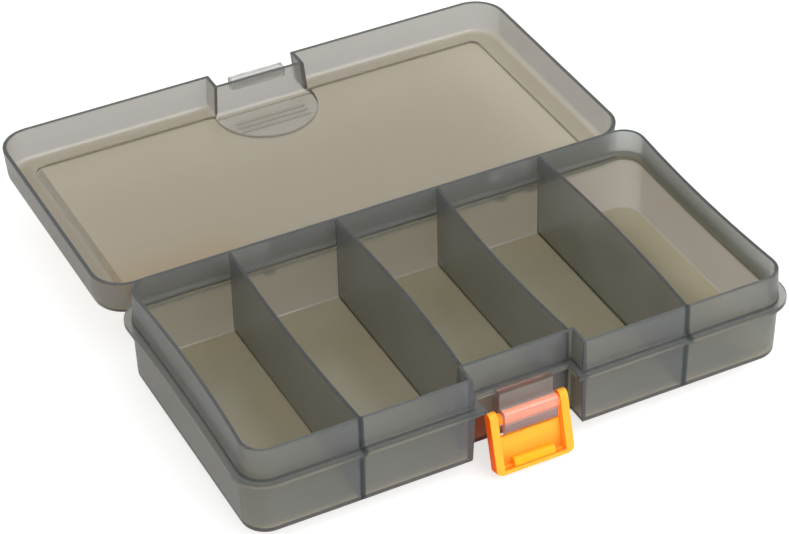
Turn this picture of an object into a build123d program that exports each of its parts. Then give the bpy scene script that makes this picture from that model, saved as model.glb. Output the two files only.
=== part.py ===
from build123d import *
import math
import os

os.makedirs("parts", exist_ok=True)

# Lure box. Millimetres. X runs along the long side, Y towards the hinge, Z up.
# The origin is the centre of the tray's underside. The lid lies open, the latch hangs open.

# Tray
TRAY_LENGTH = 161.0
TRAY_DEPTH = 84.0
FLANGE_TOP = 18.3
FLANGE_THICK = 1.5
FLANGE_CORNER = 9.4
RIM_HEIGHT = 8.8
RIM_INSET = 2.2
RIM_DRAFT = 0.3
RIM_WALL = 1.5
RIM_WALL_TOP = 1.0
WALL_INSET = 2.1
WALL_DRAFT = 0.5
WALL = 1.3
FLOOR = 1.4
FOOT_EDGE = 1.2

# Inward bow of the tray's thin short sides
BOW_AT_FLANGE = 0.7
BOW_AT_RIM = 1.7

# Front recess of the tray
RECESS_HALF = 15.6
RECESS_DEEP = 6.0

# Dividers: place and thickness at the foot, and sideways bow of the top edge
DIVIDER_THICK = 1.1
DIVIDER_BELOW_RIM = 0.1
DIVIDER_AT = [-47.4, -15.9, 14.9, 46.7]
DIVIDER_BOW = [-1.1, 1.3, -1.5, 1.4]

# Hinge
LID_GAP = 0.3
HINGE_Y_BEHIND_TRAY = 2.55
HINGE_Z_OVER_RIM_PLANE = 0.7
BARREL_R = 2.2
HINGE_AT = 40.5
KNUCKLE_WIDE = 6.0
EAR_WIDE = 3.0
EAR_GAP = 0.3
STUB_R = 0.9
STUB_REACH = 2.6
RUNNING_GAP = 0.05
KNUCKLE_WEB = 3.4

# Lid, measured when closed
LID_LENGTH = 162.0
LID_DEPTH = 83.9
LID_CORNER = 9.7
LID_TALL = 10.8
LID_PLATE = 1.2
LID_WALL = 1.4
LID_WALL_MOUTH = 1.1
LID_OUTER_DRAFT = 0.85
LID_INNER_DRAFT = 0.4
LID_EDGE = 2.4
LID_RECESS_GAP = 0.5
LID_RECESS_HALF = 13.4

# Raised centre of the lid and the thumb pad
PANEL_BORDER_SIDE = 8.6
PANEL_BORDER_FRONT = 7.4
PANEL_BORDER_BACK = 8.0
PANEL_STEP = 0.7
PANEL_CORNER = 3.0
PAD_R = 15.6
PAD_CENTRE_IN = 3.0
RIB_COUNT = 3
RIB_PITCH = 2.3
RIB_WIDE = 1.0
RIB_PROUD = 0.4
RIB_FIRST_IN = 6.2
RIB_HALF = 11.0

# Catch bar on the lid
BAR_HALF = 8.7
BAR_DEEP = 2.7
BAR_TALL = 3.2

# Latch bracket and pivot
PIVOT_DROP = 7.8
PIVOT_OUT = 4.7
BRACKET_HALF = 7.8
BRACKET_FRONT = 4.3
NOSE_OVER = 3.2
NOSE_OUT = 2.6
NOSE_UNDER = 3.6
NOSE_EDGE = 0.8
PIN_R = 1.5
PIN_SLOT = 2.4

# Latch, measured along its arms from the pivot
LATCH_HALF = 11.4
ARM_WIDE = 2.4
ARM_THICK = 3.2
ARM_BEYOND_PIN = 2.6
LATCH_REACH = 15.2
PLATE_FROM = 5.4
PLATE_THICK = 1.2
TIP_TALL = 1.4
LATCH_CORNER = 2.6
HOOK_HALF = 6.0
HOOK_TALL = 2.2
HOOK_HIGH = 1.9
HOOK_GAP = 0.3
LATCH_LEAN = 15.0

# Values that follow from the sizes above
HALF_X = TRAY_LENGTH / 2
HALF_Y = TRAY_DEPTH / 2
RECESS_FACE = RIM_INSET + RECESS_DEEP - HALF_Y
FLANGE_LOW = FLANGE_TOP - FLANGE_THICK
RIM_TOP = FLANGE_TOP + RIM_HEIGHT
RIM_PLANE = FLANGE_TOP + LID_GAP
HINGE_Y = HALF_Y + HINGE_Y_BEHIND_TRAY
HINGE_Z = RIM_PLANE + HINGE_Z_OVER_RIM_PLANE
HINGE = Axis((0, HINGE_Y, HINGE_Z), (1, 0, 0))
LID_BACK = HALF_Y + 0.04
LID_FRONT = LID_BACK - LID_DEPTH
LID_TOP = RIM_PLANE + LID_TALL
PIVOT_Y = RECESS_FACE - PIVOT_OUT
PIVOT_Z = FLANGE_TOP - PIVOT_DROP


def outline(z, half_x, back, front, corner, bow, notch_half, notch_y):
    """Face at height z: a rounded rectangle with bowed short sides and a notch in the front."""
    middle = (back + front) / 2
    if bow > 0:
        right = ThreePointArc((half_x, back), (half_x - bow, middle), (half_x, front))
        left = ThreePointArc((-half_x, front), (-half_x + bow, middle), (-half_x, back))
    else:
        right = Line((half_x, back), (half_x, front))
        left = Line((-half_x, front), (-half_x, back))
    edges = [
        Line((-half_x, back), (half_x, back)),
        right,
        Line((half_x, front), (notch_half, front)),
        Line((notch_half, front), (notch_half, notch_y)),
        Line((notch_half, notch_y), (-notch_half, notch_y)),
        Line((-notch_half, notch_y), (-notch_half, front)),
        Line((-notch_half, front), (-half_x, front)),
        left,
    ]
    face = make_face(Wire(edges).edges())
    outer = [v for v in face.vertices() if abs(abs(v.X) - half_x) < 0.01]
    face = fillet(outer, corner)
    return Pos(0, 0, z) * face


def tube(lower, upper):
    """Solid between two outlines that have the same corners."""
    return loft([lower, upper], ruled=True)


def cylinder_x(x0, x1, y, z, radius):
    """Round bar along X."""
    bar = Cylinder(radius, x1 - x0, rotation=(0, 90, 0))
    return Pos((x0 + x1) / 2, y, z) * bar


def prism_x(x0, x1, points):
    """Solid with a profile in Y and Z, drawn out along X."""
    face = make_face(Polyline([(x0, y, z) for y, z in points], close=True))
    return extrude(face, amount=x1 - x0, dir=(1, 0, 0))


def box(x0, x1, y0, y1, z0, z1):
    """Plain block between two corners."""
    return Pos((x0 + x1) / 2, (y0 + y1) / 2, (z0 + z1) / 2) * Box(x1 - x0, y1 - y0, z1 - z0)


# Outer skin of the tray: foot, lower wall, flange and rim
def tray_outline(z, inset, bow, corner_less):
    return outline(
        z,
        HALF_X - inset,
        HALF_Y - inset,
        inset - HALF_Y,
        FLANGE_CORNER - corner_less,
        bow,
        RECESS_HALF + inset - RIM_INSET,
        RECESS_FACE + inset - RIM_INSET,
    )


foot_outline = tray_outline(0, WALL_INSET + WALL_DRAFT + FOOT_EDGE, 0, WALL_INSET + FOOT_EDGE)
heel_outline = tray_outline(FOOT_EDGE, WALL_INSET + WALL_DRAFT, 0, WALL_INSET)
neck_outline = tray_outline(FLANGE_LOW, WALL_INSET, BOW_AT_FLANGE, WALL_INSET)
flange_low = tray_outline(FLANGE_LOW, 0, BOW_AT_FLANGE, 0)
flange_high = tray_outline(FLANGE_TOP, 0, BOW_AT_FLANGE, 0)
rim_low = tray_outline(FLANGE_TOP, RIM_INSET, BOW_AT_FLANGE, RIM_INSET)
rim_high = tray_outline(RIM_TOP, RIM_INSET + RIM_DRAFT, BOW_AT_RIM, RIM_INSET)

lower_skin = tube(foot_outline, heel_outline) + tube(heel_outline, neck_outline)
upper_skin = tube(flange_low, flange_high) + tube(rim_low, rim_high)
tray_block = lower_skin + upper_skin

# Hollow of the tray
floor_in = WALL_INSET + WALL_DRAFT + WALL
flange_in = RIM_INSET + RIM_WALL
top_in = RIM_INSET + RIM_DRAFT + RIM_WALL_TOP
hollow_low = tray_outline(FLOOR, floor_in, 0, floor_in)
hollow_mid = tray_outline(FLANGE_TOP, flange_in, BOW_AT_FLANGE, flange_in)
hollow_top = tray_outline(RIM_TOP, top_in, BOW_AT_RIM, top_in)
hollow = tube(hollow_low, hollow_mid) + tube(hollow_mid, hollow_top)
tray_shell = tray_block - hollow
export_step(tray_shell, "parts/tray_shell.step")


# Fixed dividers, straight at the foot and bowed along the top edge
def divider(x, bow):
    half = DIVIDER_THICK / 2
    top_z = RIM_TOP - DIVIDER_BELOW_RIM
    foot = Pos(x, 0, FLOOR) * Rectangle(DIVIDER_THICK, TRAY_DEPTH)
    edges = [
        Line((x - half, -HALF_Y), (x + half, -HALF_Y)),
        ThreePointArc((x + half, -HALF_Y), (x + half + bow, 0), (x + half, HALF_Y)),
        Line((x + half, HALF_Y), (x - half, HALF_Y)),
        ThreePointArc((x - half, HALF_Y), (x - half + bow, 0), (x - half, -HALF_Y)),
    ]
    top = Pos(0, 0, top_z) * make_face(Wire(edges).edges())
    foot_face = foot.faces()[0]
    blade = loft([foot_face, top.faces()[0]], ruled=True)
    return blade & hollow


for number, (place, bow) in enumerate(zip(DIVIDER_AT, DIVIDER_BOW), start=1):
    export_step(divider(place, bow), f"parts/divider_{number}.step")

# Latch bracket: a clear block under the flange with a square nose that clips round the latch's pin
bracket_front = RECESS_FACE - BRACKET_FRONT
bracket_back = RECESS_FACE + WALL
nose_top = PIVOT_Z + NOSE_OVER
nose_low = PIVOT_Z - NOSE_UNDER
nose_front = PIVOT_Y - NOSE_OUT
latch_bracket = prism_x(
    -BRACKET_HALF,
    BRACKET_HALF,
    [
        (bracket_back, FLANGE_TOP),
        (bracket_front, FLANGE_TOP),
        (bracket_front, nose_top),
        (nose_front + NOSE_EDGE, nose_top),
        (nose_front, nose_top - NOSE_EDGE),
        (nose_front, nose_low + NOSE_EDGE),
        (nose_front + NOSE_EDGE, nose_low),
        (PIVOT_Y + PIN_SLOT / 2 + NOSE_EDGE, nose_low),
        (bracket_back, FLANGE_LOW - PIVOT_OUT),
    ],
)
pin_bore = cylinder_x(-BRACKET_HALF - 1, BRACKET_HALF + 1, PIVOT_Y, PIVOT_Z, PIN_R + RUNNING_GAP)
pin_slot = box(
    -BRACKET_HALF - 1,
    BRACKET_HALF + 1,
    PIVOT_Y - PIN_SLOT / 2,
    PIVOT_Y + PIN_SLOT / 2,
    nose_low - 1,
    PIVOT_Z,
)
latch_bracket = latch_bracket - tray_block - pin_bore - pin_slot
export_step(latch_bracket, "parts/latch_bracket.step")

# Hinge ears on the tray, two for each knuckle
stub_hole_r = STUB_R + RUNNING_GAP
ear_number = 0
for side in (-1, 1):
    for end in (-1, 1):
        ear_number += 1
        inner = side * HINGE_AT + end * (KNUCKLE_WIDE / 2 + EAR_GAP)
        outer = inner + end * EAR_WIDE
        x0 = min(inner, outer)
        x1 = max(inner, outer)
        arm = prism_x(
            x0,
            x1,
            [
                (HALF_Y - WALL_INSET, FLANGE_TOP),
                (HINGE_Y, FLANGE_TOP),
                (HINGE_Y, HINGE_Z - BARREL_R),
                (HALF_Y, FLANGE_LOW - WALL_INSET),
                (HALF_Y - WALL_INSET, FLANGE_LOW - WALL_INSET),
            ],
        )
        barrel = cylinder_x(x0, x1, HINGE_Y, HINGE_Z, BARREL_R)
        hole = cylinder_x(x0 - 1, x1 + 1, HINGE_Y, HINGE_Z, stub_hole_r)
        ear = (arm + barrel) - tray_block - hole
        export_step(ear, f"parts/hinge_ear_{ear_number}.step")


# Lid, drawn closed and then turned open about the hinge
def lid_outline(z, inset, bow, corner_less):
    return outline(
        z,
        LID_LENGTH / 2 - inset,
        LID_BACK - inset,
        LID_FRONT + inset,
        LID_CORNER - corner_less,
        bow,
        LID_RECESS_HALF + inset,
        RECESS_FACE - LID_RECESS_GAP - LID_WALL + inset,
    )


def opened(shape):
    """The lid's open place, half a turn back about the hinge."""
    return shape.rotate(HINGE, 180)


side_draft = LID_OUTER_DRAFT * (LID_TALL - LID_EDGE) / LID_TALL
lid_mouth = lid_outline(RIM_PLANE, 0, 0, 0)
lid_shoulder = lid_outline(LID_TOP - LID_EDGE, side_draft, 0, side_draft)
lid_bend = lid_outline(LID_TOP - LID_EDGE * 0.3, side_draft + LID_EDGE * 0.3, 0, LID_EDGE * 0.3)
lid_crown = lid_outline(LID_TOP, side_draft + LID_EDGE, 0, LID_EDGE)
lid_block = tube(lid_mouth, lid_shoulder) + tube(lid_shoulder, lid_bend) + tube(lid_bend, lid_crown)
lid_hollow = tube(
    lid_outline(RIM_PLANE, LID_WALL_MOUTH, 0, LID_WALL_MOUTH),
    lid_outline(LID_TOP - LID_PLATE, LID_WALL + LID_INNER_DRAFT, 0, LID_WALL),
)

panel_left = -(LID_LENGTH / 2 - PANEL_BORDER_SIDE)
panel_front = LID_FRONT + PANEL_BORDER_FRONT
panel_back = LID_BACK - PANEL_BORDER_BACK
panel_plan = Pos(0, (panel_front + panel_back) / 2) * RectangleRounded(
    -2 * panel_left, panel_back - panel_front, PANEL_CORNER
)
pad_centre = panel_front + PAD_CENTRE_IN
recess_wall_in = RECESS_FACE - LID_RECESS_GAP
pad_plan = Pos(0, pad_centre) * Circle(PAD_R)
pad_plan += Pos(0, (panel_front + pad_centre) / 2) * Rectangle(2 * PAD_R, pad_centre - panel_front)
pad_plan &= panel_plan
panel_plan -= pad_plan
plate_low = LID_TOP - LID_PLATE

pad_hole = extrude(Pos(0, 0, plate_low - 1) * pad_plan, LID_PLATE + 2)
panel_hole = extrude(Pos(0, 0, plate_low - 1) * panel_plan, LID_PLATE + 2)
lid_shell = lid_block - lid_hollow - pad_hole - panel_hole
export_step(opened(lid_shell), "parts/lid_shell.step")

lid_panel = extrude(Pos(0, 0, plate_low - PANEL_STEP) * panel_plan, LID_PLATE)
lid_panel -= lid_shell
export_step(opened(lid_panel), "parts/lid_panel.step")

thumb_pad = extrude(Pos(0, 0, plate_low) * pad_plan, LID_PLATE)
for rib in range(RIB_COUNT):
    rib_y = panel_front + RIB_FIRST_IN + rib * RIB_PITCH
    thumb_pad += box(
        -RIB_HALF,
        RIB_HALF,
        rib_y - RIB_WIDE / 2,
        rib_y + RIB_WIDE / 2,
        LID_TOP - LID_PLATE / 2,
        LID_TOP + RIB_PROUD,
    )
thumb_pad = thumb_pad - lid_shell - lid_panel
export_step(opened(thumb_pad), "parts/thumb_pad.step")

# Catch bar on the outside of the lid's recess wall
bar_back = recess_wall_in - LID_WALL
catch_bar = box(
    -BAR_HALF,
    BAR_HALF,
    bar_back - BAR_DEEP,
    bar_back + LID_WALL,
    RIM_PLANE,
    RIM_PLANE + BAR_TALL,
)
catch_bar = catch_bar - lid_block
export_step(opened(catch_bar), "parts/catch_bar.step")

# Lid knuckles with stub pins that run in the ears
for name, side in (("left", -1), ("right", 1)):
    x0 = side * HINGE_AT - KNUCKLE_WIDE / 2
    x1 = side * HINGE_AT + KNUCKLE_WIDE / 2
    strap = prism_x(
        x0,
        x1,
        [
            (LID_BACK - LID_WALL, RIM_PLANE),
            (HINGE_Y, RIM_PLANE),
            (HINGE_Y, HINGE_Z + BARREL_R),
            (LID_BACK, RIM_PLANE + KNUCKLE_WEB),
            (LID_BACK - LID_WALL, RIM_PLANE + KNUCKLE_WEB),
        ],
    )
    barrel = cylinder_x(x0, x1, HINGE_Y, HINGE_Z, BARREL_R)
    reach = EAR_GAP + STUB_REACH
    stubs = cylinder_x(x0 - reach, x1 + reach, HINGE_Y, HINGE_Z, STUB_R)
    knuckle = (strap + barrel + stubs) - lid_block
    export_step(opened(knuckle), f"parts/lid_knuckle_{name}.step")

# Latch, drawn closed: arms run up from the pin, the plate is on the outside, the hook looks inwards
face_in = PIVOT_Y + ARM_THICK / 2
face_out = PIVOT_Y - ARM_THICK / 2
plate_in = face_out + PLATE_THICK
tip_z = PIVOT_Z + LATCH_REACH
hook_low = RIM_PLANE + BAR_TALL + HOOK_GAP
arm_in = LATCH_HALF - ARM_WIDE


def closed_arm(side):
    inner = side * arm_in
    outer = side * LATCH_HALF
    x0 = min(inner, outer)
    x1 = max(inner, outer)
    round_z = PIVOT_Z - ARM_BEYOND_PIN + ARM_THICK / 2
    beam = box(x0, x1, face_out, face_in, round_z, tip_z)
    round_end = cylinder_x(x0, x1, PIVOT_Y, round_z, ARM_THICK / 2)
    return beam + round_end


latch_frame = closed_arm(-1) + closed_arm(1)
latch_frame += cylinder_x(-arm_in, arm_in, PIVOT_Y, PIVOT_Z, PIN_R)
latch_frame += box(-arm_in, arm_in, face_out, plate_in, PIVOT_Z + PLATE_FROM, tip_z)
latch_frame += box(-arm_in, arm_in, face_out, face_in, tip_z - TIP_TALL, tip_z)
corner_edges = latch_frame.edges().filter_by(Axis.Y).filter_by(
    lambda e: abs(e.center().Z - tip_z) < 0.01 and abs(abs(e.center().X) - LATCH_HALF) < 0.01
)
latch_frame = fillet(corner_edges, LATCH_CORNER)

latch_hook = box(-HOOK_HALF, HOOK_HALF, plate_in, plate_in + HOOK_HIGH, hook_low, hook_low + HOOK_TALL)
latch_hook -= latch_frame

PIVOT = Axis((0, PIVOT_Y, PIVOT_Z), (1, 0, 0))
export_step(latch_frame.rotate(PIVOT, 180 - LATCH_LEAN), "parts/latch_frame.step")
export_step(latch_hook.rotate(PIVOT, 180 - LATCH_LEAN), "parts/latch_hook.step")
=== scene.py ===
# %% [markdown]
# # A smoke-clear lure box with an orange latch
# The box is three mouldings: a tray with fixed dividers, a lid that lies open behind it, and a small
# swing latch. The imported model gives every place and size, so each piece here is modelled by hand
# exactly where its plain solid is, with the rounded edges and the clear plastic that the solid lacks.

import bpy
import bmesh
import math
from mathutils import Matrix, Vector


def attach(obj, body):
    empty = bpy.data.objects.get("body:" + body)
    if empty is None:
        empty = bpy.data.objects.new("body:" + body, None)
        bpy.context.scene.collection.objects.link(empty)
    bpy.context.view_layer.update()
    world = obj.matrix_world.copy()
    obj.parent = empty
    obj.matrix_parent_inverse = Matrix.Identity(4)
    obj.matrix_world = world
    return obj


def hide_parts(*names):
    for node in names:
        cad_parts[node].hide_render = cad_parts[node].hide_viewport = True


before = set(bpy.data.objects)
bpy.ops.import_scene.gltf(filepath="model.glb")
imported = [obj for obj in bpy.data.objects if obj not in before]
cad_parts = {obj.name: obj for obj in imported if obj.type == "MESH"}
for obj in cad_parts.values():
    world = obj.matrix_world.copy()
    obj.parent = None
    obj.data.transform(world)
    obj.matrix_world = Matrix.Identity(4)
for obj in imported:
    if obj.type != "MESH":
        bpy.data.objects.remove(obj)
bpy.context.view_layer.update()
MM = 0.001
print("nodes in the packed model:", len(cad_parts))

# %% [markdown]
# ## The camera
# The photograph looks down from the front left with a long lens. Its direction, distance and lens
# were worked out from the outlines of the tray and the lid, so the camera is placed by numbers.
# A camera looks along its own -Z, so the third axis of its matrix points back towards it.

# %% Place the camera
PHOTO_WIDTH, FOCAL_LENGTH_IN_PIXELS, SENSOR_WIDTH, DISTANCE = 789, 2721.593, 36, 0.74423
turn, rise, tilt = (math.radians(angle) for angle in (-26.0957, 36.859, -1.4742))
target = Vector((-2.154, 31.725, 10.5)) * MM
back = Vector((math.sin(turn) * math.cos(rise), -math.cos(turn) * math.cos(rise), math.sin(rise)))
level = Vector((0, 0, 1)).cross(back).normalized()
upright = back.cross(level)
right = level * math.cos(tilt) + upright * math.sin(tilt)
up = upright * math.cos(tilt) - level * math.sin(tilt)
lens = bpy.data.cameras.new("camera")
lens.sensor_width = SENSOR_WIDTH
lens.lens = FOCAL_LENGTH_IN_PIXELS * SENSOR_WIDTH / PHOTO_WIDTH
lens.clip_start = 0.01
camera = bpy.data.objects.new("camera", lens)
bpy.context.collection.objects.link(camera)
place = Matrix((right, up, back)).transposed().to_4x4()
place.translation = target + back * DISTANCE
camera.matrix_world = place
bpy.context.scene.camera = camera
print("camera at", [round(value, 3) for value in camera.location])

# %% [markdown]
# ## Floor and light
# Clear plastic shows what is behind it, so the surroundings are half of its look. The studio is a
# pale floor under an even white sky, with one broad lamp for direction. A photographer would set
# the white ground apart from the light on the object. Here the floor and the sky give each kind of
# view its own brightness: the ground is white to the camera and keeps a faint shadow, while the
# plastic sees and mirrors a greyer one.

# %% Lay the floor
bpy.context.scene.view_settings.view_transform = "Standard"


def deselect():
    """Leaves no object selected, because operators act on all that is selected."""
    if bpy.context.mode != "OBJECT":
        bpy.ops.object.mode_set(mode="OBJECT")
    bpy.ops.object.select_all(action="DESELECT")


def math_node(nodes, links, operation, *values):
    """Adds a math node fed by numbers or by other nodes' outputs, and gives its own output."""
    node = nodes.new("ShaderNodeMath")
    node.operation = operation
    for socket, value in zip(node.inputs, values):
        if isinstance(value, (int, float)):
            socket.default_value = value
        else:
            links.new(value, socket)
    return node.outputs[0]


def by_ray(nodes, links, socket, lit, seen, mirrored, seen_through):
    """Gives a socket one number for diffuse rays, and others for direct, mirrored and bent views."""
    path = nodes.new("ShaderNodeLightPath")
    total = lit
    for ray, change in (
        ("Is Camera Ray", seen - lit),
        ("Is Glossy Ray", mirrored - lit),
        ("Is Transmission Ray", seen_through - mirrored),
    ):
        total = math_node(nodes, links, "MULTIPLY_ADD", path.outputs[ray], change, total)
    links.new(total, socket)


deselect()
FLOOR_DROP = 6
bpy.ops.mesh.primitive_plane_add(size=8, location=(0, 0, -FLOOR_DROP * MM))
floor = bpy.context.object
floor.name = "floor"
bpy.ops.object.transform_apply(location=True, rotation=True, scale=True)
paint = bpy.data.materials.new("pale floor")
paint.use_nodes = True
nodes, links = paint.node_tree.nodes, paint.node_tree.links
shader = nodes["Principled BSDF"]
shader.inputs["Base Color"].default_value = (0.5, 0.5, 0.5, 1)
shader.inputs["Roughness"].default_value = 1
shader.inputs["Specular IOR Level"].default_value = 0
shader.inputs["Emission Color"].default_value = (1, 1, 1, 1)
glow = shader.inputs["Emission Strength"]
by_ray(nodes, links, glow, lit=0, seen=0.65, mirrored=0.2, seen_through=0.304)
floor.data.materials.append(paint)
print("floor", [round(side, 2) for side in floor.dimensions])

# %% Light the studio
sky = bpy.data.worlds.new("white studio")
sky.use_nodes = True
bpy.context.scene.world = sky
nodes, links = sky.node_tree.nodes, sky.node_tree.links
strength = nodes["Background"].inputs["Strength"]
by_ray(nodes, links, strength, lit=0.87, seen=1.0, mirrored=1.0, seen_through=1.0)
nodes["Background"].inputs["Color"].default_value = (1, 1, 1, 1)
LAMP_AT, LAMP_AIM, LAMP_SIZE, LAMP_POWER = Vector((0.45, -0.75, 0.75)), Vector((0, 0.03, 0)), 1.4, 14.56
light = bpy.data.lights.new("broad lamp", "AREA")
light.size = LAMP_SIZE
light.energy = LAMP_POWER
stand = bpy.data.objects.new("broad lamp", light)
stand.location = LAMP_AT
stand.rotation_euler = (LAMP_AIM - LAMP_AT).to_track_quat("-Z", "Y").to_euler()
bpy.context.collection.objects.link(stand)
print("lamp power:", light.energy)

# %% [markdown]
# ## Smoke-clear plastic
# The tray and lid are see-through but not quite clear: thin walls look pale lilac-grey, floors look
# tan because light passes them twice, thick edges go dark, and things behind a wall are blurred. A
# glass-like shader bends the light, its roughness does the blurring, and an absorbing volume
# darkens each path by its length in the plastic. The tint follows the way a face points, flat faces
# browner than walls: this is painted shade for the light that crosses flat faces twice. The same
# tint by direction paints the dividers' ends and top edges dark and the bracket's top face whiter,
# as painted shade and a painted highlight. A noise on Object coordinates varies tint and gloss a
# little, as a moulding does. The hinge hardly bends light, or it would show as dark spots through the back
# wall.

# %% Mix the smoke-clear plastics
def ramp(nodes, links, value, low, high, start=0.0, end=1.0):
    """Turns a value between low and high into one between start and end, and holds it beyond them."""
    node = nodes.new("ShaderNodeMapRange")
    links.new(value, node.inputs["Value"])
    for name, number in (("From Min", low), ("From Max", high), ("To Min", start), ("To Max", end)):
        node.inputs[name].default_value = number
    return node.outputs["Result"]


def split(nodes, links, vector):
    """Gives the X, Y and Z outputs of a vector."""
    node = nodes.new("ShaderNodeSeparateXYZ")
    links.new(vector, node.inputs["Vector"])
    return node.outputs


def plastic(name, along, across, axis, rough, clear, depth_colour, density):
    """A moulded plastic with one tint on faces along an axis and another on all others, as painted shade,
    and a little uneven.
    """
    material = bpy.data.materials.new(name)
    material.use_nodes = True
    nodes, links = material.node_tree.nodes, material.node_tree.links
    shader = nodes["Principled BSDF"]
    shader.inputs["IOR"].default_value = 1.49
    shader.inputs["Transmission Weight"].default_value = clear
    where = nodes.new("ShaderNodeTexCoord")
    cloud = nodes.new("ShaderNodeTexNoise")
    cloud.inputs["Scale"].default_value = 45
    cloud.inputs["Detail"].default_value = 3
    links.new(where.outputs["Object"], cloud.inputs["Vector"])
    level = math_node(nodes, links, "ABSOLUTE", split(nodes, links, where.outputs["Normal"])[axis])
    uneven = math_node(nodes, links, "MULTIPLY_ADD", cloud.outputs["Fac"], 0.5, level)
    blend = nodes.new("ShaderNodeMix")
    blend.data_type = "RGBA"
    blend.inputs["A"].default_value = (*across, 1)
    blend.inputs["B"].default_value = (*along, 1)
    links.new(ramp(nodes, links, uneven, 0.35, 1.35), blend.inputs["Factor"])
    links.new(blend.outputs["Result"], shader.inputs["Base Color"])
    gloss = ramp(nodes, links, cloud.outputs["Fac"], 0, 1, rough - 0.04, rough + 0.04)
    links.new(gloss, shader.inputs["Roughness"])
    grain = nodes.new("ShaderNodeTexNoise")
    grain.inputs["Scale"].default_value = 1400
    links.new(where.outputs["Object"], grain.inputs["Vector"])
    bump = nodes.new("ShaderNodeBump")
    bump.inputs["Strength"].default_value = 0.02
    bump.inputs["Distance"].default_value = 0.0001
    links.new(grain.outputs["Fac"], bump.inputs["Height"])
    links.new(bump.outputs["Normal"], shader.inputs["Normal"])
    if density > 0:
        depth = nodes.new("ShaderNodeVolumeAbsorption")
        depth.inputs["Color"].default_value = (*depth_colour, 1)
        depth.inputs["Density"].default_value = density
        links.new(depth.outputs["Volume"], nodes["Material Output"].inputs["Volume"])
    return material


SMOKE_DEPTH, PALE_DEPTH = (0.4, 0.3, 0.03), (0.4, 0.34, 0.3)
# Roughness, clearness, and the colour and density that darken long paths
SMOKE, RAIL = (0.25, 0.93, SMOKE_DEPTH, 513), (0.1, 0.8, PALE_DEPTH, 20)
NOSE, HINGE = (0.14, 0.84, PALE_DEPTH, 150), (0.1, 0.92, PALE_DEPTH, 20)
# Painted shade by face direction: upright faces get these bluer tints, and flat faces the browner ones
# below.
WALL, LID_WALL = (0.813, 0.887, 1.0), (0.79, 0.81, 0.88)
tray_smoke = plastic("tray plastic", (0.69, 0.66, 0.52), WALL, "Z", *SMOKE)
# The dividers' ends and top edges get a dark tint, as painted shade.
blade_smoke = plastic("divider plastic", WALL, (0.26, 0.32, 0.34), "X", *SMOKE)
lid_smoke = plastic("lid plastic", (0.773, 0.743, 0.676), LID_WALL, "Z", *SMOKE)
panel_smoke = plastic("panel plastic", (0.881, 0.847, 0.771), (0.86, 0.83, 0.77), "Z", *SMOKE)
pad_smoke = plastic("thumb pad plastic", (0.84, 0.86, 0.88), LID_WALL, "Z", *SMOKE)
rail_smoke = plastic("catch rail plastic", (0.88, 0.89, 0.86), (0.97, 0.97, 0.95), "Z", *RAIL)
# The bracket's top face gets a whiter tint as a painted highlight, and its front a pinker one as painted
# orange light.
nose_smoke = plastic("bracket plastic", (1.0, 0.97, 0.95), (0.93, 0.84, 0.83), "Z", *NOSE)
hinge_smoke = plastic("hinge plastic", (0.98, 0.98, 0.98), (0.97, 0.97, 0.97), "Z", *HINGE)
hinge_smoke.node_tree.nodes["Principled BSDF"].inputs["IOR"].default_value = 1.03
print("clear plastics:", [material.name for material in bpy.data.materials if "plastic" in material.name])

# %% [markdown]
# ## Patches of painted light and shade
# These patches paint light and shade into the colour. Rims and feet guide the light away and look
# darker, so they get painted shade; the ends of the two outer dividers show as dark bars through the
# front wall, so the wall gets painted dark bars; the inner walls that face the light get a painted
# warmer tint; and the latch's colour is painted as a glow on the wall beside it. An image would have to be
# unwrapped over every piece, so each patch is a range of places instead, as wide and as soft as
# its numbers say. A later patch lies over an earlier one.

# %% Paint the patches of light and shade
def retint(material, share, tint):
    """Mixes another tint over a material's colour by a share from 0 to 1."""
    nodes, links = material.node_tree.nodes, material.node_tree.links
    colour = nodes["Principled BSDF"].inputs["Base Color"]
    blend = nodes.new("ShaderNodeMix")
    blend.data_type = "RGBA"
    links.new(share, blend.inputs["Factor"])
    links.new(colour.links[0].from_socket, blend.inputs["A"])
    blend.inputs["B"].default_value = (*tint, 1)
    links.new(blend.outputs["Result"], colour)


def patch(material, tint, fade=0.01, **limits):
    """Gives a material another tint between planes across each named axis, fading out in millimetres."""
    nodes, links = material.node_tree.nodes, material.node_tree.links
    at = split(nodes, links, nodes.new("ShaderNodeTexCoord").outputs["Object"])
    inside = 1
    for axis, (low, high) in limits.items():
        half = (high - low) / 2
        off = math_node(nodes, links, "SUBTRACT", at[axis], (low + high) / 2 * MM)
        away = math_node(nodes, links, "ABSOLUTE", off)
        near = ramp(nodes, links, away, half * MM, (half + fade) * MM, 1, 0)
        inside = math_node(nodes, links, "MULTIPLY", near, inside)
    retint(material, inside, tint)


# Painted shade tints for the dark edges of rims and mouths, and for the dark divider bars.
EDGE, BAR_SHADE = (0.5, 0.58, 0.61), (0.16, 0.25, 0.28)
DIVIDER_X = (-47.4, -15.9, 14.9, 46.7)

# Painted highlight on the front wall's bright foot, and the latch's faint painted glow beside the notch
patch(tray_smoke, (1.0, 1.0, 1.0), fade=2, Y=(-44, -38), Z=(0, 2))
patch(tray_smoke, (1.0, 0.62, 0.6), fade=5, X=(-14, -13), Y=(-44, -34), Z=(4, 10))
# Painted shade on the rim's dark top edge, paler along the front, and a painted blue-grey band at the
# flange's height
patch(tray_smoke, EDGE, Z=(26.85, 27.15))
patch(tray_smoke, (0.74, 0.82, 0.9), fade=1, Y=(-44, -37.5), Z=(26.8, 27.2))
patch(tray_smoke, (0.72, 0.8, 0.88), Z=(16.6, 18.5))
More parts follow.
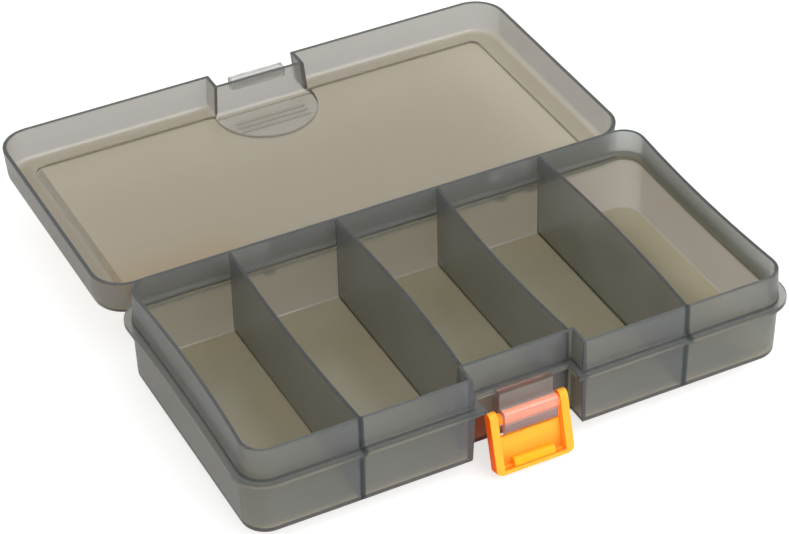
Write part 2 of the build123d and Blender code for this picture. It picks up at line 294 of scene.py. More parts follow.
# Painted light: a warmer tint on the inner walls that face the light, at the back and round the last
# compartment
patch(tray_smoke, (0.79, 0.79, 0.78), Y=(37, 41), Z=(1.2, 16.6))
patch(tray_smoke, (0.89, 0.88, 0.95), X=(47, 80), Y=(-30, 41), Z=(1.2, 16.6))
# The latch's painted red glow on the notch wall
patch(tray_smoke, (0.85, 0.16, 0.12), X=(-13.6, -8.4), Y=(-36.5, -33), Z=(0, 9.5))
# Painted shade: the dark bars where the outer dividers meet the front wall
for x in (DIVIDER_X[0], DIVIDER_X[3]):
    patch(tray_smoke, BAR_SHADE, X=(x - 0.6, x + 0.8), Y=(-43, -36))
# Painted shade on the dividers' dark feet
patch(blade_smoke, (0.09, 0.09, 0.08), Z=(1.1, 1.8))
# Painted shade on the lid's darker left border and its mouth edge, and a painted warm shade in the panel's
# near left corner
patch(lid_smoke, (0.68, 0.65, 0.58), fade=2, X=(-80, -74), Y=(50, 125), Z=(9, 10.5))
patch(lid_smoke, EDGE, Z=(19.8, 20.1))
patch(panel_smoke, (0.87, 0.76, 0.6), fade=14, X=(-72, -40), Y=(50, 62))
# The bracket's painted light and shade: a reddish painted glow below the pin, painted shade above the nose,
# darkest at its top edge
patch(nose_smoke, (0.93, 0.66, 0.64), Z=(6, 9.6))
patch(nose_smoke, (0.8, 0.72, 0.66), Z=(13.8, 18.1))
patch(nose_smoke, (0.3, 0.27, 0.24), Z=(18.1, 18.5))
print("nodes in the tray's plastic:", len(tray_smoke.node_tree.nodes))

# %% [markdown]
# ## Orange with painted glow and shade
# The latch's orange looks fluorescent, and a little painted glow stands in for that; light spreads
# under its surface, and painted shade makes it deeper red on narrow sides and in the corner of its
# plate. It starts from the same plastic with no clearness. The hook gets a less red painted shade, and
# the pin a redder orange with a stronger painted glow.

# %% Mix the orange plastics
# Where the painted shade on the plate lies and fades
PLATE_HALF, LIP_EDGE, FADE_START, FADE_END = 8.95, -2.7, 3, -2.6


def orange_with_painted_light(name, face, painted_shade_tint, glow, painted_plate_shade):
    """An orange with a little painted glow, and painted shade that deepens its narrow sides and the foot of
    the thin plate.
    """
    material = plastic(name, face, tuple(0.96 * part for part in face), "Y", 0.3, 0.0, (1, 1, 1), 0)
    nodes, links = material.node_tree.nodes, material.node_tree.links
    shader = nodes["Principled BSDF"]
    shader.inputs["Specular IOR Level"].default_value = 0.06
    shader.inputs["Subsurface Weight"].default_value = 0.85
    shader.inputs["Subsurface Radius"].default_value = (1.0, 0.12, 0.02)
    shader.inputs["Subsurface Scale"].default_value = 6 * MM
    # Painted glow: the orange glows a little though it is no lamp.
    shader.inputs["Emission Color"].default_value = (1.0, 0.2, 0.01, 1)
    shader.inputs["Emission Strength"].default_value = glow
    where = nodes.new("ShaderNodeTexCoord")
    # Painted shade: faces turned along X, the narrow sides, get the deeper red.
    sideways = math_node(nodes, links, "ABSOLUTE", split(nodes, links, where.outputs["Normal"])["X"])
    depth = ramp(nodes, links, sideways, 0.35, 0.95)
    if painted_plate_shade:
        # Painted shade: the plate grows deeper red towards its foot by the lip.
        at = split(nodes, links, where.outputs["Object"])
        foot = ramp(nodes, links, at["Z"], FADE_START * MM, FADE_END * MM, 0, 0.7)
        across = math_node(nodes, links, "ABSOLUTE", at["X"])
        between_arms = math_node(nodes, links, "LESS_THAN", across, PLATE_HALF * MM)
        over_lip = math_node(nodes, links, "GREATER_THAN", at["Z"], LIP_EDGE * MM)
        on_plate = math_node(nodes, links, "MULTIPLY", between_arms, over_lip)
        foot = math_node(nodes, links, "MULTIPLY", foot, on_plate)
        depth = math_node(nodes, links, "MAXIMUM", depth, foot)
    retint(material, depth, painted_shade_tint)
    return material


# Each orange has painted glow and painted shade; the pin's stronger glow stands in for the light the clear
# nose gathers on it.
orange = orange_with_painted_light("orange plastic", (1.0, 0.44, 0.05), (1.0, 0.1, 0.001), 0.2, True)
yellow_orange = orange_with_painted_light("yellow orange plastic", (1.0, 0.42, 0.02), (1.0, 0.3, 0.01), 0.2, False)
pin_orange = orange_with_painted_light("pin orange plastic", (1.0, 0.2, 0.02), (1.0, 0.15, 0.01), 0.8, False)
print("plastics:", len([material for material in bpy.data.materials if "plastic" in material.name]))

# %% [markdown]
# ## Tools of the hand
# Every piece starts as a plain block, plane or cylinder and is shaped in edit mode. These helpers do
# what the mouse would: pick parts of a mesh by their place, and finish a piece with rounded edges.

# %% Pick and shape
def block(name, x0, x1, y0, y1, z0, z1):
    """Adds a block between two corners, in millimetres."""
    deselect()
    middle = Vector((x0 + x1, y0 + y1, z0 + z1)) * MM / 2
    bpy.ops.mesh.primitive_cube_add(size=1, location=middle)
    piece = bpy.context.object
    piece.name = name
    piece.scale = Vector((x1 - x0, y1 - y0, z1 - z0)) * MM
    bpy.ops.object.transform_apply(location=True, rotation=True, scale=True)
    return piece


def rod(name, x0, x1, y, z, radius, sides=48):
    """Adds a cylinder that lies along X, in millimetres."""
    deselect()
    bpy.ops.mesh.primitive_cylinder_add(
        vertices=sides,
        radius=radius * MM,
        depth=(x1 - x0) * MM,
        location=Vector(((x0 + x1) / 2, y, z)) * MM,
        rotation=(0, math.pi / 2, 0),
    )
    piece = bpy.context.object
    piece.name = name
    bpy.ops.object.transform_apply(location=True, rotation=True, scale=True)
    return piece


def edit(piece):
    """Opens one piece in edit mode with nothing picked."""
    deselect()
    piece.select_set(True)
    bpy.context.view_layer.objects.active = piece
    bpy.ops.object.mode_set(mode="EDIT")
    bpy.ops.mesh.select_all(action="DESELECT")


def pick(kind, test):
    """Picks the faces, edges or vertices of the open piece that pass a test, and counts them."""
    bpy.ops.mesh.select_mode(type=kind)
    bpy.ops.mesh.select_all(action="DESELECT")
    mesh = bmesh.from_edit_mesh(bpy.context.edit_object.data)
    found = {"VERT": mesh.verts, "EDGE": mesh.edges, "FACE": mesh.faces}[kind]
    count = 0
    for element in found:
        if not element.hide and test(element):
            element.select_set(True)
            count += 1
    mesh.select_flush_mode()
    bmesh.update_edit_mesh(bpy.context.edit_object.data)
    return count


def close(a, b, slack=0.02):
    """True if a length in metres is a number of millimetres."""
    return abs(a - b * MM) < slack * MM


def at_level(z):
    """A test for elements that lie wholly at one height."""
    return lambda e: all(close(v.co.z, z) for v in e.verts)


def along_x(y, z):
    """A test for edges that run along X at one place."""
    return lambda e: all(close(v.co.y, y) and close(v.co.z, z) for v in e.verts)


def inset(width, depth=0.0):
    """Insets the picked region and moves it out along its normal, in millimetres."""
    bpy.ops.mesh.inset(thickness=width * MM, depth=depth * MM, use_even_offset=True)


def push(y=0.0, z=0.0):
    """Extrudes the picked region, in millimetres."""
    bpy.ops.mesh.extrude_region_move(TRANSFORM_OT_translate={"value": (0, y * MM, z * MM)})


def shift(x=0.0, y=0.0):
    """Moves the picked vertices, in millimetres."""
    bpy.ops.transform.translate(value=(x * MM, y * MM, 0))


def bevel(width, steps):
    """Rounds the picked edges, in millimetres."""
    bpy.ops.mesh.bevel(offset=width * MM, segments=steps, affect="EDGES")


def cut(co, no, keep=None):
    """Bisects the whole open piece. keep says which side to keep, or neither."""
    bpy.ops.mesh.select_all(action="SELECT")
    bpy.ops.mesh.bisect(
        plane_co=Vector(co) * MM,
        plane_no=no,
        use_fill=keep is not None,
        clear_outer=keep == "behind",
        clear_inner=keep == "ahead",
    )


def combine(piece, tool, how):
    """Joins a second shape to a piece or cuts it away, then clears the stray points and edges."""
    deselect()
    bpy.context.view_layer.objects.active = piece
    step = piece.modifiers.new(how, "BOOLEAN")
    step.operation = how
    step.object = tool
    step.solver = "EXACT"
    bpy.ops.object.modifier_apply(modifier=step.name)
    bpy.data.objects.remove(tool)
    edit(piece)
    bpy.ops.mesh.select_all(action="SELECT")
    bpy.ops.mesh.remove_doubles(threshold=0.01 * MM)
    bpy.ops.mesh.dissolve_limited(angle_limit=math.radians(0.5))
    bpy.ops.object.mode_set(mode="OBJECT")


def finish_piece(piece, body, nodes, material, edge=0.25, steps=2, angle=30):
    """Rounds every sharp edge a little, smooths the shading and hands the piece to its body."""
    deselect()
    piece.select_set(True)
    bpy.context.view_layer.objects.active = piece
    if edge > 0:
        soft = piece.modifiers.new("edges", "BEVEL")
        soft.width = edge * MM
        soft.segments = steps
        soft.limit_method = "ANGLE"
        soft.angle_limit = math.radians(angle)
        bpy.ops.object.modifier_apply(modifier=soft.name)
    bpy.ops.object.shade_smooth_by_angle(angle=math.radians(40))
    flat = piece.modifiers.new("even faces", "WEIGHTED_NORMAL")
    flat.mode = "FACE_AREA"
    flat.weight = 100
    flat.keep_sharp = True
    bpy.ops.object.modifier_apply(modifier=flat.name)
    piece.data.materials.clear()
    piece.data.materials.append(material)
    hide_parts(*nodes)
    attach(piece, body)
    size = [round(side / MM, 1) for side in piece.dimensions]
    print(piece.name, "faces:", len(piece.data.polygons), "size mm:", size)


# %% [markdown]
# ## The outline of the tray and the lid
# Both are rounded rectangles with a notch in the latch side. A plane is cut with three bisects, the
# notch is deleted, the four corners are rounded by a vertex bevel, and the short sides are divided
# so that they can be bowed later. From then on each moulding grows from this outline by insets.

# %% Draw the outline
NOTCH_HALF = 13.4


def outline(name, half_x, y0, y1, z, corner, notch_y, notch_front):
    """Leaves a flat outline open in edit mode, wholly picked."""
    deselect()
    bpy.ops.mesh.primitive_plane_add(size=1, location=Vector((0, (y0 + y1) / 2, z)) * MM)
    piece = bpy.context.object
    piece.name = name
    piece.scale = Vector((2 * half_x, y1 - y0, 1 / MM)) * MM
    bpy.ops.object.transform_apply(location=True, rotation=True, scale=True)
    edit(piece)
    cut((-NOTCH_HALF, 0, 0), (1, 0, 0))
    cut((NOTCH_HALF, 0, 0), (1, 0, 0))
    cut((0, notch_y, 0), (0, 1, 0))
    side = 1 if notch_front else -1

    def in_notch(face):
        middle = face.calc_center_median()
        return abs(middle.x) < NOTCH_HALF * MM and side * middle.y < side * notch_y * MM

    pick("FACE", in_notch)
    bpy.ops.mesh.delete(type="FACE")
    bpy.ops.mesh.select_all(action="SELECT")
    bpy.ops.mesh.dissolve_limited(angle_limit=0.02)
    pick("VERT", lambda v: close(abs(v.co.x), half_x))
    bpy.ops.mesh.bevel(offset=corner * MM, segments=14, affect="VERTICES")
    pick("EDGE", lambda e: e.calc_length() > 30 * MM and all(close(abs(v.co.x), half_x) for v in e.verts))
    bpy.ops.mesh.subdivide(number_cuts=15)
    bpy.ops.mesh.select_mode(type="FACE")
    bpy.ops.mesh.select_all(action="SELECT")
    return piece


BOW_REACH = 40


def bow(level, amount):
    """Draws the middle of both short sides of one ring inwards, fading out towards the corners."""
    for side in (-1, 1):
        pick("VERT", lambda v: close(v.co.z, level))
        bpy.ops.mesh.hide(unselected=True)
        pick("VERT", lambda v: close(v.co.y, 0, 0.1) and side * v.co.x > 60 * MM)
        bpy.ops.transform.translate(
            value=(-side * amount * MM, 0, 0),
            use_proportional_edit=True,
            proportional_edit_falloff="INVERSE_SQUARE",
            proportional_size=BOW_REACH * MM,
        )
        bpy.ops.mesh.reveal(select=False)


# %% [markdown]
# ## The tray
# The tray's outline at the flange is its largest, so the shape grows from there: the flange's edge
# is extruded, the lower walls go down from it, and the rim goes up and back down inside. Each drafted
# wall is one inset with a depth. A block with its top scooped out would need separate booleans for
# the flange and the rim, and its wall would not stay even round the corners. Over the bracket the
# flange has a small groove, two more insets of the shelf in the notch.

# %% Raise the tray
FLANGE_LOW, FLANGE_TOP, RIM_TOP, FLOOR_TOP = 16.8, 18.3, 27.1, 1.1
TRAY_HALF_LENGTH, TRAY_HALF_DEPTH, TRAY_CORNER, NOTCH_BACK = 80.5, 42, 9.4, -36.0
SHELF_BELOW, SHELF_ABOVE, RIM_WIDTH = 2.1, 2.2, 0.95
LOWER_DRAFT, RIM_DRAFT, INNER_DRAFT, FLOOR_DRAFT = 0.5, 0.3, 0.35, 0.1
tray = outline(
    "tray_body",
    TRAY_HALF_LENGTH,
    -TRAY_HALF_DEPTH,
    TRAY_HALF_DEPTH,
    FLANGE_LOW,
    TRAY_CORNER,
    NOTCH_BACK,
    notch_front=True,
)
push(z=FLANGE_TOP - FLANGE_LOW)
pick("FACE", lambda f: f.normal.z < -0.9)
inset(SHELF_BELOW)
inset(LOWER_DRAFT, FLANGE_LOW)
pick("FACE", lambda f: f.normal.z > 0.9)
inset(SHELF_ABOVE)
inset(RIM_DRAFT, RIM_TOP - FLANGE_TOP)
inset(RIM_WIDTH)
inset(INNER_DRAFT, FLANGE_TOP - RIM_TOP)
inset(FLOOR_DRAFT, FLOOR_TOP - FLANGE_TOP)
for level, amount in ((FLANGE_LOW, 0.7), (FLANGE_TOP, 0.7), (RIM_TOP, 1.7)):
    bow(level, amount)
print("tray faces before rounding:", len(bmesh.from_edit_mesh(tray.data).faces))

# %% Sink the small groove in the flange over the bracket
GROOVE_Y, GROOVE_ENDS, GROOVE_DEPTH = -34.9, (-3.2, 5.9), 0.5


def on_notch_shelf(face):
    at = face.calc_center_median() / MM
    return face.normal.z > 0.9 and close(at.z * MM, FLANGE_TOP) and abs(at.x) < 6 and -36 < at.y < -33.5


def in_groove(face):
    near = abs(face.calc_center_median().y - GROOVE_Y * MM) < 0.2 * MM
    return near and on_notch_shelf(face) and face.calc_area() < 15 * MM * MM


print("shelf faces:", pick("FACE", on_notch_shelf))
inset(0.5)
for side, end in zip((-1, 1), GROOVE_ENDS):

    def at_groove_end(vert):
        at = vert.co / MM
        return close(vert.co.z, FLANGE_TOP) and -35.7 < at.y < -34.1 and 0 < side * at.x < 13.3

    pick("VERT", at_groove_end)
    now = [vert.co.x for vert in bmesh.from_edit_mesh(tray.data).verts if vert.select][0] / MM
    shift(x=end - now)
pick("FACE", in_groove)
inset(0.02, -GROOVE_DEPTH)

# %% Round the tray's foot and the corner between floor and walls
def outer_edge(edge):
    """True for an edge between a flat face and a wall."""
    return len(edge.link_faces) == 2 and edge.calc_face_angle(0) > 1.0


pick("EDGE", lambda e: at_level(0)(e) and outer_edge(e))
bevel(1.1, 5)
pick("EDGE", lambda e: at_level(FLOOR_TOP)(e) and outer_edge(e))
bevel(0.3, 2)
bpy.ops.object.mode_set(mode="OBJECT")
finish_piece(tray, "tray", ["tray_shell"], tray_smoke, edge=0.22)

# %% [markdown]
# ## The dividers
# Four thin blades stand across the tray. They are straight at the foot, but the thin top edges have
# warped sideways in the mould, each by a different amount. One long block is divided along its
# length, tapered towards the top, and its top edge is pulled sideways with a soft falloff.

# %% Stand the dividers
HALF_THICKNESS, WALL_FRONT, WALL_BACK, NOTCH_WALL = 0.6, -38.08, 38.08, -32.06


def divider(number, warp, front):
    """A tapered blade from the front wall to the back wall with a warped top edge."""
    foot, top, rear, x = FLOOR_TOP + 0.02, RIM_TOP - 0.1, WALL_BACK, DIVIDER_X[number - 1]
    blade = block(f"divider_blade_{number}", x - HALF_THICKNESS, x + HALF_THICKNESS, front, rear, foot, top)
    edit(blade)
    cut((0, 0, FLANGE_TOP), (0, 0, 1))
    for level, reach in ((FLANGE_TOP, 0.1), (top, 0.45)):
        for end, way in ((front, -reach), (rear, reach)):
            pick("VERT", lambda v: close(v.co.z, level) and close(v.co.y, end))
            shift(y=way)
    pick("EDGE", lambda e: abs(e.verts[0].co.y - e.verts[1].co.y) > 30 * MM)
    bpy.ops.mesh.subdivide(number_cuts=13)
    middle = (front + rear) / 2
    for level, width, share in ((FLANGE_TOP, 0.9, 0.66), (top, 0.84, 1.0)):
        pick("VERT", lambda v: close(v.co.z, level))
        bpy.ops.transform.resize(value=(width, 1, 1), center_override=Vector((x, 0, level)) * MM)
        bpy.ops.mesh.hide(unselected=True)
        pick("VERT", lambda v: close(v.co.y, middle, 0.1))
        bpy.ops.transform.translate(
            value=(warp * share * MM, 0, 0),
            use_proportional_edit=True,
            proportional_edit_falloff="INVERSE_SQUARE",
            proportional_size=(rear - front) / 2 * MM,
        )
        bpy.ops.mesh.reveal(select=False)
    for end in (front, rear):
        pick("EDGE", along_x(end, foot))
        bevel(0.85, 3)
    bpy.ops.object.mode_set(mode="OBJECT")
    finish_piece(blade, "tray", [f"divider_{number}"], blade_smoke, edge=0.18)


divider(1, -1.1, WALL_FRONT)
divider(2, 1.3, NOTCH_WALL)
divider(3, -1.5, NOTCH_WALL)
divider(4, 1.4, WALL_FRONT)

# %% [markdown]
# ## The latch bracket
# Under the flange in the tray's notch stands a clear block with a square nose that clips round the
# latch's pin, and the orange pin shines through it. The nose and the strip beside the flange are
# extruded from the block, as one would pull them out by hand, and the bore and its slot are cut away.
# A solid block would go nearly black in the smoke plastic, so it gets the paler finish of a cored one.

# %% Build the bracket
PIVOT = Vector((0, -38.5, 10.5))
BLOCK_HALF, BLOCK_FRONT, BLOCK_BACK, BLOCK_TOP = 7.8, -38.1, -33.93, 16.77
NOSE_TOP, NOSE_LOW, NOSE_FRONT, STRIP_BACK = 13.7, 6.9, -41.1, -36.03
BORE_RADIUS, SLOT_HALF = 1.55, 1.2
bracket = block("latch_mount", -BLOCK_HALF, BLOCK_HALF, BLOCK_FRONT, BLOCK_BACK, NOSE_LOW, BLOCK_TOP)
edit(bracket)
cut((0, -36.5, NOSE_LOW), (0, -5.2, 4.0), keep="ahead")
cut((0, STRIP_BACK, 0), (0, 1, 0))
cut((0, 0, NOSE_TOP), (0, 0, 1))
pick("FACE", lambda f: f.normal.z > 0.9 and f.calc_center_median().y < STRIP_BACK * MM)
push(z=FLANGE_TOP - BLOCK_TOP)
pick("FACE", lambda f: f.normal.y < -0.9 and f.calc_center_median().z < NOSE_TOP * MM)
push(y=NOSE_FRONT - BLOCK_FRONT)
for height in (NOSE_TOP, NOSE_LOW):
    pick("EDGE", along_x(NOSE_FRONT, height))
    bevel(0.8, 4)
bpy.ops.object.mode_set(mode="OBJECT")
combine(bracket, rod("bore", -9, 9, PIVOT.y, PIVOT.z, BORE_RADIUS), "DIFFERENCE")
slot = block("slot", -9, 9, PIVOT.y - SLOT_HALF, PIVOT.y + SLOT_HALF, 6, PIVOT.z - 1)
combine(bracket, slot, "DIFFERENCE")
finish_piece(bracket, "tray", ["latch_bracket"], nose_smoke, edge=0.15)

# %% [markdown]
# ## The hinge
# Two lid knuckles run between four small ears on the tray's back. Both are hidden behind the rim in
# the photograph and only hinted at through the plastic. One ear is modelled and copied, each copy
# with its own mesh, and so is the knuckle.

# %% Build one ear and copy it
HINGE_Y, HINGE_Z, BARREL_RADIUS, STUB_RADIUS, BORE_IN_EAR = 44.55, 19.3, 2.2, 0.9, 0.95
EAR_X, EAR_ROOT, EAR_LOW, NEXT_EAR, OTHER_HINGE = (-46.8, -43.8), 39.97, 14.7, 9.6, 81.0


def copy_along(piece, name, x):
    """A copy with its own mesh, moved along X in millimetres."""
    deselect()
    piece.select_set(True)
    bpy.context.view_layer.objects.active = piece
    bpy.ops.object.duplicate()
    twin = bpy.context.object
    twin.name = name
    twin.location.x += x * MM
    bpy.ops.object.transform_apply(location=True, rotation=True, scale=True)
    return twin


ear = block("hinge_ear_a", *EAR_X, EAR_ROOT, HINGE_Y, EAR_LOW, FLANGE_TOP)
edit(ear)
cut((0, HINGE_Y, 17.1), (0, -2.4, 2.55), keep="ahead")
bpy.ops.object.mode_set(mode="OBJECT")
combine(ear, block("flange room", -50, -40, 38, 42.03, 16.77, 20), "DIFFERENCE")
combine(ear, rod("barrel", *EAR_X, HINGE_Y, HINGE_Z, BARREL_RADIUS), "UNION")
combine(ear, rod("bore", -50, -40, HINGE_Y, HINGE_Z, BORE_IN_EAR, 32), "DIFFERENCE")
ears = [ear]
for letter, x in (("b", NEXT_EAR), ("c", OTHER_HINGE), ("d", OTHER_HINGE + NEXT_EAR)):
    ears.append(copy_along(ear, f"hinge_ear_{letter}", x))
for number, piece in enumerate(ears, start=1):
    finish_piece(piece, "tray", [f"hinge_ear_{number}"], hinge_smoke, edge=0.12)

# %% Build one knuckle and copy it
KNUCKLE_X, STUBS_X = (-43.5, -37.5), (-46.4, -34.6)
KNUCKLE_BACK, KNUCKLE_LOW, KNUCKLE_TOP = 47.03, 16.8, 20.0
knuckle = block("knuckle_left", *KNUCKLE_X, HINGE_Y, KNUCKLE_BACK, KNUCKLE_LOW, KNUCKLE_TOP)
edit(knuckle)
pick("EDGE", along_x(KNUCKLE_BACK, KNUCKLE_LOW))
shift(y=0.2)
bpy.ops.object.mode_set(mode="OBJECT")
combine(knuckle, rod("barrel", *KNUCKLE_X, HINGE_Y, HINGE_Z, BARREL_RADIUS), "UNION")
combine(knuckle, rod("stubs", *STUBS_X, HINGE_Y, HINGE_Z, STUB_RADIUS, 32), "UNION")
twin = copy_along(knuckle, "knuckle_right", OTHER_HINGE)
for piece, node in ((knuckle, "lid_knuckle_left"), (twin, "lid_knuckle_right")):
    finish_piece(piece, "lid", [node], hinge_smoke, edge=0.12)

# %% [markdown]
# ## The lid
# The lid lies open with its hollow side up, so its outline is drawn at the mouth. The skirt goes down
# from it with a draft and a well rounded lower edge, and the hollow goes down inside. The middle of
# its plate is a separate raised panel, so the plate gets an opening for it, cut with the same shapes
# as the panel and the thumb pad. The panel's left and near edges are drawn in at the top, because
# the photograph shows a soft slope there and a crisp step on the other sides.

# %% Sink the lid
MOUTH, MOUTH_EDGE, UNDERSIDE, PLATE_TOP = 20.0, 0.4, 9.2, 10.4
LID_HALF_LENGTH, LID_NEAR, LID_FAR, LID_CORNER, LID_NOTCH = 81.0, 47.06, 130.96, 9.7, 124.8
SKIRT_DRAFT, MOUTH_WIDTH, HOLLOW_DRAFT = 0.82, 1.1, 0.7
lid = outline(
    "lid_body",
    LID_HALF_LENGTH,
    LID_NEAR,
    LID_FAR,
    MOUTH - MOUTH_EDGE,
    LID_CORNER,
    LID_NOTCH,
    notch_front=False,
)
push(z=MOUTH_EDGE)
pick("FACE", lambda f: f.normal.z < -0.9)
inset(SKIRT_DRAFT, MOUTH - MOUTH_EDGE - UNDERSIDE)
pick("FACE", lambda f: f.normal.z > 0.9)
inset(MOUTH_WIDTH)
inset(HOLLOW_DRAFT, PLATE_TOP - MOUTH)
pick("EDGE", lambda e: at_level(UNDERSIDE)(e) and outer_edge(e))
bevel(2.3, 6)
pick("EDGE", lambda e: at_level(PLATE_TOP)(e) and outer_edge(e))
bevel(1.2, 4)
bpy.ops.object.mode_set(mode="OBJECT")
print("lid faces:", len(lid.data.polygons))

# %% Shape the raised panel and the opening for it
PAD_Y, PAD_RADIUS, PAD_END = 120.56, 15.6, 121.6
PANEL_HALF_LENGTH, PANEL_NEAR, PANEL_FAR, PANEL_LOW, PANEL_TOP = 72.4, 55.06, 123.56, 9.9, 11.1
PANEL_CORNER, LEFT_SLOPE, NEAR_SLOPE, CLEARANCE = 3, 1.8, 1.6, 0.03


def disc(name, radius, z0, z1):
    """An upright round plate at the thumb pad's place."""
    deselect()
    at = Vector((0, PAD_Y, (z0 + z1) / 2)) * MM
    bpy.ops.mesh.primitive_cylinder_add(vertices=96, radius=radius * MM, depth=(z1 - z0) * MM, location=at)
    piece = bpy.context.object
    piece.name = name
    bpy.ops.object.transform_apply(location=True, rotation=True, scale=True)
    return piece


def panel_plate(name, grow, z0, z1):
    """The panel's rounded plate with the thumb pad's round bite, larger all round by grow."""
    half = PANEL_HALF_LENGTH + grow
    plate = block(name, -half, half, PANEL_NEAR - grow, PANEL_FAR + grow, z0, z1)
    edit(plate)
    pick("EDGE", lambda e: e.calc_length() < 10 * MM)
    bevel(PANEL_CORNER + grow, 8)
    bpy.ops.object.mode_set(mode="OBJECT")
    combine(plate, disc("bite", PAD_RADIUS + 0.04 - grow, z0 - 1, z1 + 1), "DIFFERENCE")

    def beside_bite(edge):
        upright = abs(edge.verts[0].co.z - edge.verts[1].co.z) > 0.5 * MM
        return upright and all(abs(v.co.x) < 16 * MM and v.co.y > 123 * MM for v in edge.verts)

    edit(plate)
    pick("EDGE", beside_bite)
    bevel(PANEL_CORNER - grow, 6)
    bpy.ops.mesh.select_all(action="SELECT")
    bpy.ops.mesh.remove_doubles(threshold=0.08 * MM)
    bpy.ops.object.mode_set(mode="OBJECT")
    return plate


def pad_plate(name, grow, z0, z1):
    """The thumb pad's round plate, cut straight beside the recess wall."""
    plate = disc(name, PAD_RADIUS + grow, z0, z1)
    edit(plate)
    cut((0, PAD_END + grow, 0), (0, 1, 0), keep="behind")
    bpy.ops.object.mode_set(mode="OBJECT")
    return plate


combine(lid, panel_plate("panel room", CLEARANCE, 8, 12), "DIFFERENCE")
combine(lid, pad_plate("pad room", CLEARANCE, 8, 12), "DIFFERENCE")
finish_piece(lid, "lid", ["lid_shell"], lid_smoke, edge=0.2)
panel = panel_plate("lid_centre", 0, PANEL_LOW, PANEL_TOP)
edit(panel)
pick("VERT", lambda v: close(v.co.z, PANEL_TOP) and v.co.x < -69.3 * MM)
shift(x=LEFT_SLOPE)
pick("VERT", lambda v: close(v.co.z, PANEL_TOP) and v.co.y < 58.1 * MM)
shift(y=NEAR_SLOPE)
bpy.ops.object.mode_set(mode="OBJECT")
finish_piece(panel, "lid", ["lid_panel"], panel_smoke, edge=0.22)

# %% [markdown]
# ## The thumb pad and the catch rail
# The pad is a round plate with three grip ribs on the outside of the lid, which faces down here. The
# plate's underside is divided by bisects and the three strips between them are extruded. The catch
# rail on the recess wall is cored out from below, as thick clear mouldings are, so it stays pale.

# %% Add the pad and its ribs
pad = pad_plate("thumb_rest", 0, UNDERSIDE, PLATE_TOP)
edit(pad)
RIBS, RIB_HALF_WIDTH, RIB_HALF_LENGTH, RIB_HEIGHT = (117.36, 115.06, 112.76), 0.5, 11, 0.4
for middle in RIBS:
    cut((0, middle - RIB_HALF_WIDTH, 0), (0, 1, 0))
    cut((0, middle + RIB_HALF_WIDTH, 0), (0, 1, 0))
for x in (-RIB_HALF_LENGTH, RIB_HALF_LENGTH):
    cut((x, 0, 0), (1, 0, 0))


def is_rib(face):
    at = face.calc_center_median() / MM
    on_line = any(abs(at.y - middle) < 0.45 for middle in RIBS)
    return on_line and face.normal.z < -0.9 and abs(at.x) < RIB_HALF_LENGTH


print("ribs picked:", pick("FACE", is_rib))
push(z=-RIB_HEIGHT)
bpy.ops.object.mode_set(mode="OBJECT")
finish_piece(pad, "lid", ["thumb_pad"], pad_smoke, edge=0.18)

# %% Add the catch rail
RAIL_HALF, RAIL_BACK, RAIL_FRONT, RAIL_LOW, RAIL_WALL, RAIL_CORE = 8.7, 124.83, 127.5, 16.8, 0.8, 2.4
rail = block("catch_rail", -RAIL_HALF, RAIL_HALF, RAIL_BACK, RAIL_FRONT, RAIL_LOW, MOUTH)
edit(rail)
pick("FACE", lambda f: f.normal.z < -0.9)
inset(RAIL_WALL)
inset(0.05, -RAIL_CORE)
bpy.ops.object.mode_set(mode="OBJECT")
finish_piece(rail, "lid", ["catch_bar"], rail_smoke, edge=0.2)

# %% [markdown]
# ## The swing latch
# The latch is an orange frame: two arms with round ends, a pin between them that turns in the clear
# nose, a thin plate and a hook bar beside the lip at its free end. It is easiest to model upright, as
# it stands when the box is shut, and then to turn about its pin into the hanging place of the
# photograph. The pocket between the arms is pushed in, and the room for the nose is cut away. The
# pin's faces get a redder orange with a stronger painted glow, which stands in for the light that the
# clear nose gathers on it.

# %% Model the latch upright and turn it down
SWING = 165
ARM_END, PLATE_LOW, LIP_LOW, TIP = 7.9, 15.9, 24.3, 25.7
HALF_WIDTH, ARM_INSIDE, FRONT_FACE, BACK_FACE = 11.4, 9, -40.1, -36.9
PIN_RADIUS, POCKET_DEPTH = 1.5, 2.0


def hang(piece):
    """Turns a piece from its upright place to its hanging one, about the pin."""
    edit(piece)
    bpy.ops.mesh.select_all(action="SELECT")
    bpy.ops.transform.rotate(value=-math.radians(SWING), orient_axis="X", center_override=PIVOT * MM)
    bpy.ops.object.mode_set(mode="OBJECT")


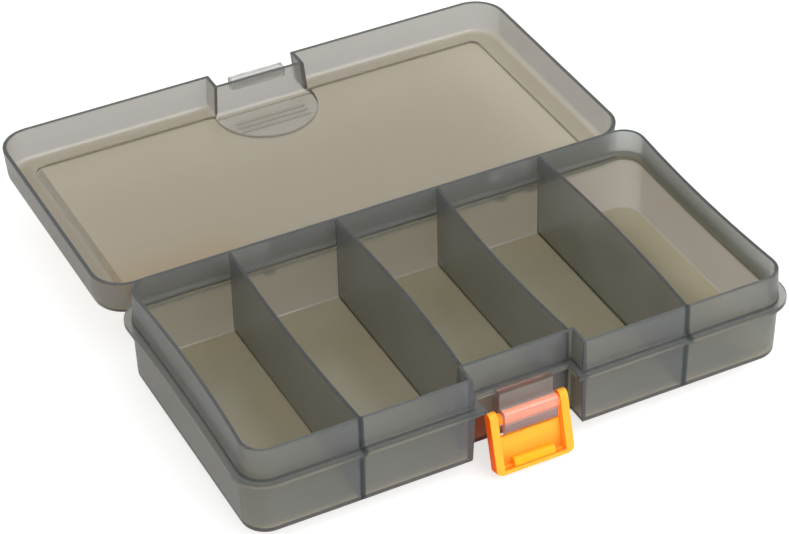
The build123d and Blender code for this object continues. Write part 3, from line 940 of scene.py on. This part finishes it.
latch = block("swing_latch", -HALF_WIDTH, HALF_WIDTH, FRONT_FACE, BACK_FACE, ARM_END, TIP)
edit(latch)
for x in (-ARM_INSIDE, ARM_INSIDE):
    cut((x, 0, 0), (1, 0, 0))
for z in (PLATE_LOW, LIP_LOW):
    cut((0, 0, z), (0, 0, 1))


def is_pocket(face):
    at = face.calc_center_median() / MM
    return face.normal.y > 0.9 and abs(at.x) < ARM_INSIDE and PLATE_LOW < at.z < LIP_LOW


pick("FACE", is_pocket)
push(y=-POCKET_DEPTH)
pick("EDGE", lambda e: all(close(abs(v.co.x), HALF_WIDTH) and close(v.co.z, TIP) for v in e.verts))
bevel(2.6, 8)
bpy.ops.object.mode_set(mode="OBJECT")
combine(latch, block("nose room", -ARM_INSIDE, ARM_INSIDE, -42, -35, 6, PLATE_LOW), "DIFFERENCE")
edit(latch)
pick("EDGE", lambda e: at_level(ARM_END)(e) and abs(e.verts[0].co.x - e.verts[1].co.x) > 2 * MM)
bevel(1.58, 7)
bpy.ops.object.mode_set(mode="OBJECT")
combine(latch, rod("pin", -ARM_INSIDE - 0.2, ARM_INSIDE + 0.2, PIVOT.y, PIVOT.z, PIN_RADIUS), "UNION")
hang(latch)
finish_piece(latch, "latch", ["latch_frame"], orange, edge=0.45, steps=4)
# The pin gets the redder orange with the stronger painted glow.
latch.data.materials.append(pin_orange)
edit(latch)


def on_pin(face):
    at = face.calc_center_median() / MM
    return abs(at.x) < ARM_INSIDE + 0.1 and math.hypot(at.y - PIVOT.y, at.z - PIVOT.z) < PIN_RADIUS + 0.1


print("pin faces:", pick("FACE", on_pin))
latch.active_material_index = 1
bpy.ops.object.material_slot_assign()
bpy.ops.object.mode_set(mode="OBJECT")

# %% Add the hook
HOOK_HALF, HOOK_FRONT, HOOK_BACK, HOOK_LOW, HOOK_TOP = 6, -38.87, -37.0, 22.1, LIP_LOW - 0.03
hook = block("latch_hook_bar", -HOOK_HALF, HOOK_HALF, HOOK_FRONT, HOOK_BACK, HOOK_LOW, HOOK_TOP)
edit(hook)
pick("EDGE", along_x(HOOK_BACK, HOOK_LOW))
bevel(0.7, 3)
bpy.ops.object.mode_set(mode="OBJECT")
hang(hook)
finish_piece(hook, "latch", ["latch_hook"], yellow_orange, edge=0.2)
